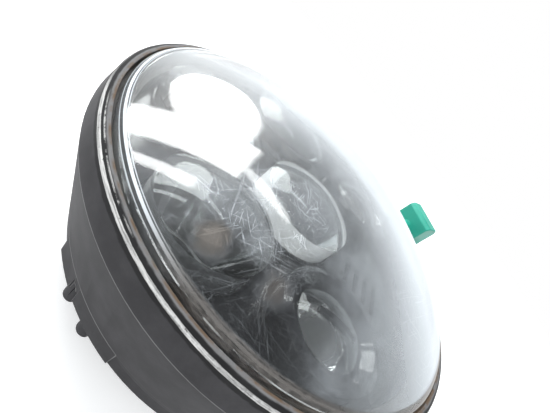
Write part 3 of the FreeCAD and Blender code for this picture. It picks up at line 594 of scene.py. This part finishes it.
def finish_skin(look):
    """Weathered skin of the dome: clear but for scratches, specks, haze, smears and a dirty, worn skirt. Its
    white is partly painted glare, glints and reflection.
    """
    made, tree, skin, _ = new_material("weathered_skin_and_glare")
    place = use_group(tree, "lamp_place")
    angle = place["Angle"]
    brown = smears(tree, BROWN_SMEARS)
    share = calc(tree, "ADD", dome_marks(tree), dome_veil(tree, brown))
    # Dirt is caked on the near side of the skirt
    on_skirt = ramp(tree, place["Height"], COVER_LOW.z + 8.2 * MM, COVER_LOW.z + 7.8 * MM)
    strip = unrolled(tree, place, 0.3 * COVER_HIGH.x)
    caked = ramp(tree, noise(tree, strip, 900.0, 6.0, 0.8), 0.38, 0.7, 0.04, 0.36)
    caked = blend(tree, ramp(tree, angle, -0.6, -0.2), 0.05, caked)
    share = calc(tree, "MAXIMUM", share, calc(tree, "MULTIPLY", on_skirt, caked))
    for inset, height, width, amount in SKIRT_LINES:
        worn = ring_band(tree, COVER_HIGH.x - inset * MM, COVER_LOW.z + height * MM, width * MM, 0.6, 500.0)
        worn = calc(tree, "MULTIPLY", worn, ramp(tree, angle, -0.7, -0.2, amount, 0.3 * amount))
        share = calc(tree, "MAXIMUM", share, worn)
    dirty = calc(tree, "MULTIPLY", on_skirt, ramp(tree, angle, -0.6, -0.2, 0.0, 0.9))
    dirty = calc(tree, "MAXIMUM", ramp(tree, brown, 0.0, 0.15), dirty)
    outside = calc(tree, "SUBTRACT", 1.0, add(tree, "NewGeometry").outputs["Backfacing"])
    wire(tree, skin, Base_Color=blend_colour(tree, dirty, tuple(look.haze), tuple(look.smear)), Roughness=0.6,
         Alpha=calc(tree, "MULTIPLY", share, outside))
    return made


def finish_optic():
    """Clear moulded optic."""
    made, tree, glass, out = new_material("clear_optic")
    slow = noise(tree, object_place(tree), 60.0, 3.0)
    wire(tree, glass, Base_Color=(0.96, 0.98, 0.98), IOR=1.49, Transmission_Weight=1.0,
         Roughness=ramp(tree, slow, 0.3, 0.7, 0.0, 0.02))
    let_lamps_through(tree, glass, out)
    return made


def finish_plastic(name, colour, roughness, grain=1800.0, grain_strength=0.15):
    """Moulded plastic, rubber or paint, with a slow tone and a fine grain."""
    made, tree, shader, _ = new_material(name)
    skin = use_group(tree, "skin_grain", {"Scale": grain})
    tone = ramp(tree, skin["Tone"], 0.3, 0.7)
    wire(tree, shader, Base_Color=blend_colour(tree, tone, shade(colour, 0.85), shade(colour, 1.12)),
         Roughness=ramp(tree, tone, 0.0, 1.0, 0.88 * roughness, 1.1 * roughness),
         Normal=bump(tree, skin["Height"], grain_strength, 0.05 * MM))
    return made


def finish_metal(name, colour, roughness):
    """Bare or plated metal with a dull, uneven skin."""
    made, tree, shader, _ = new_material(name)
    skin = use_group(tree, "skin_grain", {"Scale": 1600.0})
    tone = ramp(tree, skin["Tone"], 0.3, 0.7)
    wire(tree, shader, Base_Color=blend_colour(tree, tone, shade(colour, 0.8), colour), Metallic=1.0,
         Roughness=ramp(tree, tone, 0.0, 1.0, 0.8 * roughness, 1.25 * roughness))
    return made


# Surfaces


def put_piece(name, data):
    """Object for a mesh or a curve, at the origin of the lamp's frame."""
    piece = bpy.data.objects.new(name, data)
    bpy.context.scene.collection.objects.link(piece)
    return piece


def put_mesh(name, points, faces, slot, material, node, sharp):
    """Object from points and faces, shaded smooth but for sharp edges, riding on the lamp."""
    mesh = bpy.data.meshes.new(name)
    mesh.from_pydata(points.tolist(), [], faces)
    mesh.shade_smooth()
    mesh.set_sharp_from_angle(angle=math.radians(sharp))
    mesh.materials.append(material)
    piece = put_piece(name, mesh)
    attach(piece, "root")
    if node is not None:
        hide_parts(node)
    return piece


def lathe(profile, steps, centre=(0.0, 0.0)):
    """Surface of revolution of a closed profile, or of an open one that starts or ends on the axis.

    The profile point (r, z) goes to (r cos t, r sin t, z), with t evenly round the axis. A point on the
    axis is one vertex. The profile runs so that the solid lies on its left.
    """
    profile = np.asarray(profile, float)
    on_axis = profile[:, 0] < 1e-9
    turn = np.linspace(0.0, 2.0 * math.pi, steps, endpoint=False)
    rings = profile[~on_axis]
    grid = np.empty((len(rings), steps, 3))
    grid[..., 0] = rings[:, :1] * np.cos(turn) + centre[0]
    grid[..., 1] = rings[:, :1] * np.sin(turn) + centre[1]
    grid[..., 2] = rings[:, 1:]
    index = np.arange(len(rings) * steps).reshape(len(rings), steps)
    open_ends = bool(on_axis[0] or on_axis[-1])
    lower = index[:-1] if open_ends else index
    upper = index[1:] if open_ends else np.roll(index, -1, axis=0)
    quads = np.stack((lower, np.roll(lower, -1, axis=1), np.roll(upper, -1, axis=1), upper), axis=-1)
    faces = quads.reshape(-1, 4).tolist()
    points = grid.reshape(-1, 3)
    if on_axis[0]:
        faces += np.stack((np.full(steps, len(points)), np.roll(index[0], -1), index[0]), axis=-1).tolist()
        points = np.vstack((points, (*centre, profile[0, 1])))
    if on_axis[-1]:
        faces += np.stack((np.full(steps, len(points)), index[-1], np.roll(index[-1], -1)), axis=-1).tolist()
        points = np.vstack((points, (*centre, profile[-1, 1])))
    return points, faces


def dome_arc(edge, apex, steps):
    """Arc of the circle that is centred on the axis, from an edge point (r, z) up to the apex height."""
    rise = apex - edge[1]
    radius = (edge[0] ** 2 + rise ** 2) / (2.0 * rise)
    angle = np.linspace(math.asin(edge[0] / radius), 0.0, steps)
    return np.stack((radius * np.sin(angle), apex - radius + radius * np.cos(angle)), axis=-1)


def node_radius(node):
    """Half of a round node's width across X."""
    low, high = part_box(node)
    return (high.x - low.x) / 2


def node_centre(node):
    """Middle of a node's box in plan."""
    low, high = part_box(node)
    return np.array(((low.x + high.x) / 2, (low.y + high.y) / 2))


def read_mesh(items, field):
    """Three numbers of a field for each of a mesh's vertices or faces, as an array."""
    values = np.empty(3 * len(items), np.float32)
    items.foreach_get(field, values)
    return values.reshape(-1, 3).astype(float)


def second_material(mesh, material, chosen):
    """Give a second material to the chosen faces of a mesh."""
    mesh.materials.append(material)
    mesh.polygons.foreach_set("material_index", chosen.astype(np.int32))


def frost_and_light_side(piece, material, radius):
    """Give a second material to the upright side of a turned optic on the lamp's axis: a frosted white that
    is painted light, standing in for the light and reflections that the clear side shows.
    """
    faces = piece.data.polygons
    middle, normal = read_mesh(faces, "center"), read_mesh(faces, "normal")
    side = (np.hypot(middle[:, 0], middle[:, 1]) > 0.99 * radius) & (np.abs(normal[:, 2]) < 0.1)
    second_material(piece.data, material, side)


def paint_slot_shade(piece, material, centre, top, form):
    """Give a second, near black material to the walls and the floor of the slot across a small optic's face:
    painted shade for the dark look of the clear slot.
    """
    middle = read_mesh(piece.data.polygons, "center")
    across = np.abs(middle[:, 0] - centre[0]) < form.slot_width / 2 + form.slot_slack
    along = np.abs(middle[:, 1] - centre[1]) < form.slot_length / 2 + form.slot_slack
    deep = middle[:, 2] > top - form.slot_depth - form.slot_slack
    second_material(piece.data, material, across & along & deep)


def close_joints(points):
    """Points of the housing with the slits between neighbouring blocks closed.

    At the blocks' rear edges, a point that is close to the plane of a joint is turned into it.
    """
    turn = np.degrees(np.arctan2(points[:, 1], points[:, 0])) % 360.0
    radius, height = np.hypot(points[:, 0], points[:, 1]), points[:, 2]
    at_rear = (height > SLIT_HEIGHTS[0]) & (height < SLIT_HEIGHTS[1])
    at_rear &= (radius > SLIT_RADII[0]) & (radius < SLIT_RADII[1])
    for joint in BLOCK_JOINTS:
        turn = np.where(at_rear & (np.abs(turn - joint) < SLIT_ANGLE), joint, turn)
    angle = np.radians(turn)
    return np.stack((radius * np.cos(angle), radius * np.sin(angle), height), axis=-1)


def dressed_copy(node, materials, width, angle=28.0, join=True):
    """Merged copy of a node's mesh with its edges rounded by a bevel, whose faces take the last material.

    Flat faces are joined first, but not on a plate with holes in it.
    """
    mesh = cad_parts[node].data.copy()
    mesh.name = node + "_dressed"
    if node == "housing":
        points = close_joints(read_mesh(mesh.vertices, "co"))
        mesh.vertices.foreach_set("co", points.astype(np.float32).ravel())
    work = bmesh.new()
    work.from_mesh(mesh)
    bmesh.ops.remove_doubles(work, verts=work.verts, dist=MERGE_DISTANCE)
    if join:
        flat = math.radians(FLAT_ANGLE)
        bmesh.ops.dissolve_limit(work, angle_limit=flat, verts=work.verts, edges=work.edges)
    work.to_mesh(mesh)
    work.free()
    if "custom_normal" in mesh.attributes:
        mesh.attributes.remove(mesh.attributes["custom_normal"])
    mesh.materials.clear()
    for material in materials:
        mesh.materials.append(material)
    mesh.shade_smooth()
    mesh.set_sharp_from_angle(angle=math.radians(angle))
    piece = put_piece(node + "_dressed", mesh)
    bevel = piece.modifiers.new("edges", "BEVEL")
    bevel.width = width
    bevel.use_clamp_overlap = False
    bevel.segments = 2
    bevel.limit_method = "ANGLE"
    bevel.angle_limit = math.radians(angle)
    bevel.material = len(materials) - 1
    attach(piece, "root")
    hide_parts(node)
    return piece


def dress(node, material):
    """Give a node that stays as it is a better material."""
    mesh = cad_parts[node].data
    mesh.materials.clear()
    mesh.materials.append(material)


# Operators


class HEADLAMP_OT_housing(bpy.types.Operator):
    """Die-cast housing with worn edges, partly painted highlight"""
    bl_idname = "headlamp.housing"
    bl_label = "Housing"

    def execute(self, context):
        look, form = context.scene.headlamp_finish, context.scene.headlamp_forms
        # The edges' material is rubbed grey that is partly painted highlight
        coats = finish_coat(look, "coated_casting", 0.0), finish_coat(look, "rubbed_and_highlit_edges", 0.8)
        dressed_copy("housing", coats, form.edge_round, 14.0)
        return {"FINISHED"}


class HEADLAMP_OT_cover(bpy.types.Operator):
    """Clear scratched dome, its skirt and the seal under it"""
    bl_idname = "headlamp.cover"
    bl_label = "Dome and seal"

    def execute(self, context):
        look, form = context.scene.headlamp_finish, context.scene.headlamp_forms
        radius, foot, apex = COVER_HIGH.x, COVER_LOW.z, COVER_HIGH.z
        shoulder = foot + form.skirt_height
        edge = (radius - form.skirt_chamfer, shoulder + form.skirt_chamfer)
        skin = np.vstack((((radius, foot), (radius, shoulder)), dome_arc(edge, apex, form.arc_steps)))
        surface = lathe(skin, form.turn_steps)
        put_mesh("dome_skin", *surface, "clear_cover", finish_skin(look), None, 20.0)
        # The clear dome lies just under its skin
        thin = form.skin_depth
        radius, apex, edge = radius - thin, apex - thin, (edge[0] - thin, edge[1] - thin / 2)
        inside = radius - form.skirt_wall
        outer = dome_arc(edge, apex, form.arc_steps)
        inner = dome_arc((inside, edge[1] - form.dome_wall), apex - form.dome_wall, form.arc_steps)
        skirt = np.array(((inside, foot), (radius, foot), (radius, shoulder)))
        surface = lathe(np.vstack((inner[::-1], skirt, outer)), form.turn_steps)
        put_mesh("dome", *surface, "clear_cover", finish_dome(look), "lens_cover", 20.0)
        dress("lens_seal", finish_plastic("dirty_seal", (0.035, 0.033, 0.03), 0.75))
        return {"FINISHED"}


class HEADLAMP_OT_bezel(bpy.types.Operator):
    """Glossy black bezel and the collars of the small optics"""
    bl_idname = "headlamp.bezel"
    bl_label = "Bezel"

    def execute(self, context):
        look = context.scene.headlamp_finish
        gloss = finish_plastic("gloss_black", tuple(look.bezel), 0.08, 300.0, 0.0)
        dressed_copy("inner_bezel", (gloss,), 0.25 * MM, join=False)
        for name in SMALL_OPTICS:
            dressed_copy("collar_" + name, (gloss,), 0.25 * MM)
        return {"FINISHED"}


class HEADLAMP_OT_optics(bpy.types.Operator):
    """The six clear optics"""
    bl_idname = "headlamp.optics"
    bl_label = "Optics"

    def execute(self, context):
        form = context.scene.headlamp_forms
        clear = finish_optic()
        # The centre optic's side is frosted and painted white: painted light standing in for the light
        # through its clear side
        frosted = finish_plastic("frosted_lit_side", (0.94, 0.955, 0.96), 0.4)
        for name in LARGE_OPTICS:
            node = "lens_" + name
            low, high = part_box(node)
            radius, shoulder = node_radius(node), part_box("holder_" + name)[1].z
            stem = np.array(((0.0, low.z), (form.lens_foot, low.z),
                             (radius - form.lens_flange, shoulder), (radius, shoulder)))
            face = dome_arc((radius, high.z - form.lens_crown), high.z, 40)
            surface = lathe(np.vstack((stem, face)), form.turn_steps // 2, node_centre(node))
            piece = put_mesh("optic_" + name, *surface, "optic_clear", clear, node, 30.0)
            if name == "centre":
                frost_and_light_side(piece, frosted, radius)
        # The slot in each clear small optic is painted near black: painted shade
        dark = finish_plastic("slot_painted_shade", (0.008, 0.008, 0.01), 0.8)
        for name in SMALL_OPTICS:
            node = "lens_" + name
            piece = dressed_copy(node, (clear,), 0.2 * MM)
            paint_slot_shade(piece, dark, node_centre(node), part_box(node)[1].z, form)
        return {"FINISHED"}


class HEADLAMP_OT_inside(bpy.types.Operator):
    """Holders, light sources, boards and screws"""
    bl_idname = "headlamp.inside"
    bl_label = "Inside"

    def execute(self, context):
        dark_bowl = finish_plastic("dark_bowl", (0.07, 0.07, 0.075), 0.35)
        for name in LARGE_OPTICS:
            dress("holder_" + name, dark_bowl)
        grey_bowl = finish_plastic("grey_bowl", (0.48, 0.48, 0.49), 0.4)
        for name in SMALL_OPTICS:
            dress("holder_" + name, grey_bowl)
        dress("driver_parts", finish_plastic("satin_black", (0.02, 0.02, 0.02), 0.45))
        dress("led_board", finish_plastic("white_mask", (0.7, 0.71, 0.7), 0.4))
        dress("led_emitters", finish_plastic("phosphor", (0.85, 0.68, 0.16), 0.35))
        dress("thermal_pad", finish_plastic("thermal_sheet", (0.35, 0.36, 0.37), 0.8))
        steel = finish_metal("zinc_steel", (0.6, 0.6, 0.6), 0.32)
        dress("board_screws", steel)
        dress("driver_spacers", steel)
        dress("driver_board", finish_plastic("green_mask", (0.04, 0.2, 0.09), 0.35))
        dress("vent_plug", finish_plastic("vent_rubber", (0.03, 0.03, 0.03), 0.7))
        return {"FINISHED"}


class HEADLAMP_OT_lead(bpy.types.Operator):
    """Lead from the strain relief to the plug"""
    bl_idname = "headlamp.lead"
    bl_label = "Lead"

    def execute(self, context):
        form = context.scene.headlamp_forms
        curve = bpy.data.curves.new("lead", "CURVE")
        curve.dimensions = "3D"
        spline = curve.splines.new("NURBS")
        spline.points.add(len(ROUTE) - 1)
        spline.points.foreach_set("co", [value for point in ROUTE for value in (*point, 1.0)])
        spline.order_u = 3
        spline.use_endpoint_u = True
        spline.resolution_u = 16
        curve.bevel_depth = form.lead_diameter / 2
        curve.bevel_resolution = 6
        curve.use_fill_caps = True
        curve.materials.append(finish_plastic("lead_jacket", (0.02, 0.02, 0.02), 0.5))
        lead = put_piece("lead", curve)
        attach(lead, "root")
        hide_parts("cable")
        dress("cable_grommet", finish_plastic("strain_relief", (0.025, 0.025, 0.025), 0.6))
        return {"FINISHED"}


class HEADLAMP_OT_plug(bpy.types.Operator):
    """Green plug and its tinned blades"""
    bl_idname = "headlamp.plug"
    bl_label = "Plug"

    def execute(self, context):
        look = context.scene.headlamp_finish
        green = finish_plastic("plug_green", tuple(look.plug), 0.42, 700.0, 0.08)
        dressed_copy("plug_body", (green,), 0.6 * MM)
        tin = finish_metal("dull_tin", (0.5, 0.49, 0.45), 0.45)
        dressed_copy("plug_blades", (tin,), 0.12 * MM)
        return {"FINISHED"}


class HEADLAMP_OT_stage(bpy.types.Operator):
    """White floor, soft light and the camera"""
    bl_idname = "headlamp.stage"
    bl_label = "Stage"

    def execute(self, context):
        stage = context.scene.headlamp_stage
        make_floor(stage)
        make_world()
        make_lights()
        make_camera(stage)
        context.scene.view_settings.view_transform = "Standard"
        return {"FINISHED"}


# Stage


def mirrored_or_through(tree, path):
    """1 for rays that were mirrored or let through on their way from the camera."""
    return calc(tree, "MAXIMUM", path["Is Glossy Ray"], path["Is Transmission Ray"])


def make_floor(stage):
    """Square floor under the fins: white with shadows near the lamp, plain white further off.

    That is how the camera sees it, straight on, mirrored or through glass. For other rays it is a dim light.
    """
    half = stage.floor_size / 2
    corners = [(-half, -half, 0.0), (half, -half, 0.0), (half, half, 0.0), (-half, half, 0.0)]
    mesh = bpy.data.meshes.new("studio_floor")
    mesh.from_pydata(corners, [], [(0, 1, 2, 3)])
    made, tree, shader, out = new_material("white_floor")
    wire(tree, shader, Base_Color=(0.9, 0.9, 0.9), Roughness=0.9)
    glow = add(tree, "Emission", {"Strength": 0.28})
    near = add(tree, "AddShader", {0: shader.outputs[0], 1: glow.outputs[0]})
    white = add(tree, "Emission", {"Strength": 1.0})
    away = add(tree, "VectorMath", {0: object_place(tree)}, operation="LENGTH").outputs["Value"]
    eye = add(tree, "MixShader", {0: ramp(tree, away, 0.3, 0.5), 1: near.outputs[0], 2: white.outputs[0]})
    dim = add(tree, "Emission", {"Strength": ramp(tree, away, 0.2, 1.0, 0.3, 0.9)})
    path = add(tree, "LightPath").outputs
    seen = calc(tree, "MAXIMUM", path["Is Camera Ray"], mirrored_or_through(tree, path))
    mixed = add(tree, "MixShader", {0: seen, 1: dim.outputs[0], 2: eye.outputs[0]})
    set_inputs(tree, out, {"Surface": mixed.outputs[0]})
    mesh.materials.append(made)
    put_piece("studio_floor", mesh)


def make_world():
    """White surroundings for the eye, a dark room overhead in mirror images, and soft light for the rest."""
    world = bpy.data.worlds.new("studio_world")
    world.use_nodes = True
    tree = world.node_tree
    tree.nodes.clear()
    path = add(tree, "LightPath").outputs
    upward = add(tree, "SeparateXYZ", {0: add(tree, "TexCoord").outputs["Generated"]}).outputs[2]
    room = ramp(tree, upward, 0.25, 0.8, 1.0, 0.06)
    strength = blend(tree, mirrored_or_through(tree, path), 0.85, room)
    strength = calc(tree, "MAXIMUM", strength, path["Is Camera Ray"])
    colour = blend_colour(tree, path["Is Camera Ray"], (0.93, 0.97, 1.0), (1.0, 1.0, 1.0))
    sky = add(tree, "Background", {"Color": colour, "Strength": strength})
    add(tree, "OutputWorld", {"Surface": sky.outputs[0]})
    bpy.context.scene.world = world


def add_lamp(name, shape, middle, size, brightness):
    """Area lamp at the windows' height, facing down; its power is brightness times pi times both sizes."""
    light = bpy.data.lights.new(name, "AREA")
    light.shape = shape
    light.size, light.size_y = size
    light.energy = brightness * math.pi * light.size * light.size_y
    lamp = put_piece(name, light)
    lamp.location = (*middle, LIGHT_HEIGHT)
    return lamp


def make_lights():
    """Windows overhead, whose mirror images are the white bands on the dome, and a fill lamp without one."""
    for name, shape, middle, size, turn, brightness in WINDOWS:
        lamp = add_lamp(name, shape, middle, size, brightness)
        lamp.rotation_euler.z = math.radians(turn)
    fill = add_lamp("front_fill", "ELLIPSE", (-1.3, 0.35), (0.9, 0.9), 5.5)
    fill.rotation_euler = Vector(fill.location).to_track_quat("Z", "Y").to_euler()
    fill.visible_glossy = False
    fill.visible_transmission = False


def make_camera(stage):
    """Camera at the photograph's place."""
    data = bpy.data.cameras.new("photo_camera")
    data.lens = stage.focal_length
    data.sensor_width = 36.0
    data.sensor_fit = "HORIZONTAL"
    data.clip_start = 0.005
    camera = put_piece("photo_camera", data)
    back = -Vector(stage.camera_view).normalized()
    right = Vector(stage.camera_up).cross(back).normalized()
    up = back.cross(right)
    turn = Matrix((right, up, back)).transposed().to_4x4()
    camera.matrix_world = Matrix.Translation(Vector(stage.camera_place)) @ turn
    bpy.context.scene.camera = camera


# Add-on


OPERATORS = (
    HEADLAMP_OT_stage,
    HEADLAMP_OT_plug,
    HEADLAMP_OT_lead,
    HEADLAMP_OT_housing,
    HEADLAMP_OT_cover,
    HEADLAMP_OT_bezel,
    HEADLAMP_OT_optics,
    HEADLAMP_OT_inside,
)


class HEADLAMP_PT_sidebar(bpy.types.Panel):
    """Lists the headlamp's pieces"""
    bl_idname = "HEADLAMP_PT_sidebar"
    bl_label = "Headlamp"
    bl_space_type = "VIEW_3D"
    bl_region_type = "UI"
    bl_category = "Headlamp"

    def draw(self, context):
        for operator in OPERATORS:
            self.layout.operator(operator.bl_idname)


CLASSES = (HeadlampForms, HeadlampFinish, HeadlampStage, *OPERATORS, HEADLAMP_PT_sidebar)


def register():
    """Make the classes and the scene's settings known."""
    for item in CLASSES:
        bpy.utils.register_class(item)
    bpy.types.Scene.headlamp_forms = PointerProperty(type=HeadlampForms)
    bpy.types.Scene.headlamp_finish = PointerProperty(type=HeadlampFinish)
    bpy.types.Scene.headlamp_stage = PointerProperty(type=HeadlampStage)


def unregister():
    """Take the settings and the classes away again."""
    del bpy.types.Scene.headlamp_stage
    del bpy.types.Scene.headlamp_finish
    del bpy.types.Scene.headlamp_forms
    for item in reversed(CLASSES):
        bpy.utils.unregister_class(item)


def main():
    """Build the stage and every piece."""
    register()
    build_groups()
    bpy.ops.headlamp.stage()
    bpy.ops.headlamp.plug()
    bpy.ops.headlamp.lead()
    bpy.ops.headlamp.housing()
    bpy.ops.headlamp.cover()
    bpy.ops.headlamp.bezel()
    bpy.ops.headlamp.optics()
    bpy.ops.headlamp.inside()


if __name__ == "__main__":
    main()
